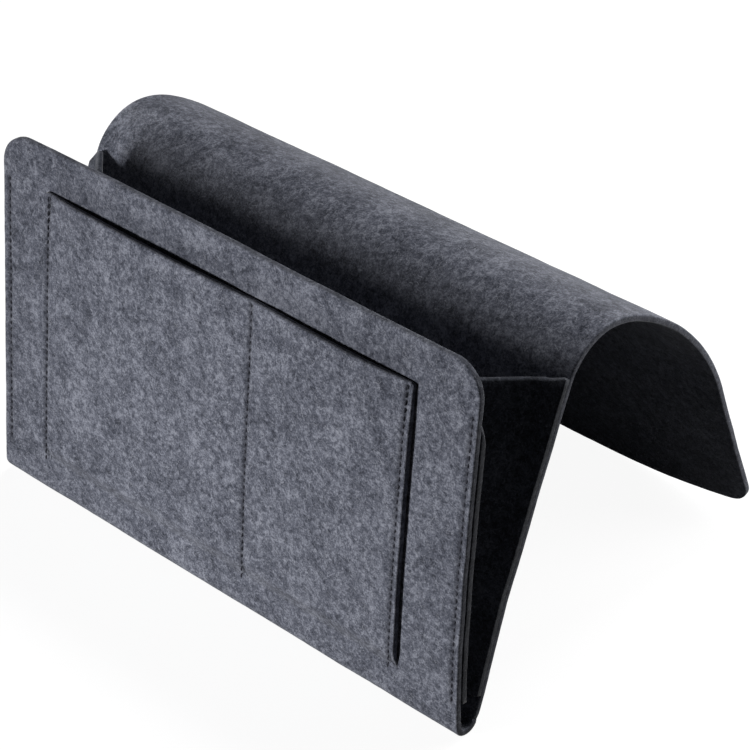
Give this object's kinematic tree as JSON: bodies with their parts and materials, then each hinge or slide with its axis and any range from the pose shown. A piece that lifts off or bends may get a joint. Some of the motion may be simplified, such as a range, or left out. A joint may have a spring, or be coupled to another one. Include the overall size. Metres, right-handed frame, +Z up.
{
  "type": "bedside caddy",
  "caption": "Felt bedside caddy: a folded strip with a gusseted pocket, a stitched front patch with two small pockets, and a saddle with a flap that goes under a mattress.",
  "frame": {"origin": "on the floor that the bottom fold and the flap's end stand on, under the middle of the part's box", "axes": "+X along the caddy to the right as seen from the front, +Y from the front panel to the flap, +Z up"},
  "size_m": [0.32, 0.2418, 0.2007],
  "materials": {
    "felt": "mottled needle-punched felt",
    "patch_felt": "mottled needle-punched felt",
    "gusset_felt": "mottled needle-punched felt",
    "thread": "dark sewing thread"
  },
  "bodies": {
    "pocket_back": {"back_wall": "felt", "bottom_fold": "felt", "saddle_front": "felt", "gusset_back_flange_left": "gusset_felt", "gusset_back_flange_right": "gusset_felt", "back_seam_thread_left": "thread", "back_seam_thread_right": "thread"},
    "flap": {"saddle_back": "felt", "mattress_flap": "felt"},
    "front": {"front_panel": "felt", "pocket_patch": "patch_felt", "gusset_front_flange_left": "gusset_felt", "gusset_front_flange_right": "gusset_felt", "front_seam_thread_left": "thread", "front_seam_thread_right": "thread", "patch_thread_left": "thread", "patch_thread_divider": "thread", "patch_thread_right": "thread"},
    "gusset_back_left": {"gusset_back_half_left": "gusset_felt"},
    "gusset_back_right": {"gusset_back_half_right": "gusset_felt"},
    "gusset_front_left": {"gusset_front_half_left": "gusset_felt"},
    "gusset_front_right": {"gusset_front_half_right": "gusset_felt"}
  },
  "joints": [
    {"name": "saddle_bend", "type": "hinge", "parent": "pocket_back", "child": "flap", "pos_m": [0, -0.01421, 0.18456], "axis": [1, 0, 0], "range_deg": [-12, 75]},
    {"name": "mouth_open", "type": "hinge", "parent": "pocket_back", "child": "front", "pos_m": [0, -0.11063, 0.00775], "axis": [1, 0, 0], "range_deg": [-14, 3]},
    {"name": "gusset_back_fold_left", "type": "hinge", "parent": "pocket_back", "child": "gusset_back_left", "pos_m": [-0.15, -0.07763, 0.08933], "axis": [0, -0.3681, -0.9298], "range_deg": [-41, 9]},
    {"name": "gusset_back_fold_right", "type": "hinge", "parent": "pocket_back", "child": "gusset_back_right", "pos_m": [0.15, -0.07763, 0.08933], "axis": [0, 0.3681, 0.9298], "range_deg": [-41, 9]},
    {"name": "gusset_front_fold_left", "type": "hinge", "parent": "front", "child": "gusset_front_left", "pos_m": [-0.15, -0.10422, 0.09552], "axis": [0, 0.0802, 0.9968], "range_deg": [-41, 9]},
    {"name": "gusset_front_fold_right", "type": "hinge", "parent": "front", "child": "gusset_front_right", "pos_m": [0.15, -0.10422, 0.09552], "axis": [0, -0.0802, -0.9968], "range_deg": [-41, 9]}
  ],
  "couplings": [
    {"joint": "gusset_back_fold_left", "follows": "mouth_open", "ratio": 2.9},
    {"joint": "gusset_back_fold_right", "follows": "mouth_open", "ratio": 2.9},
    {"joint": "gusset_front_fold_left", "follows": "mouth_open", "ratio": 2.9},
    {"joint": "gusset_front_fold_right", "follows": "mouth_open", "ratio": 2.9}
  ]
}
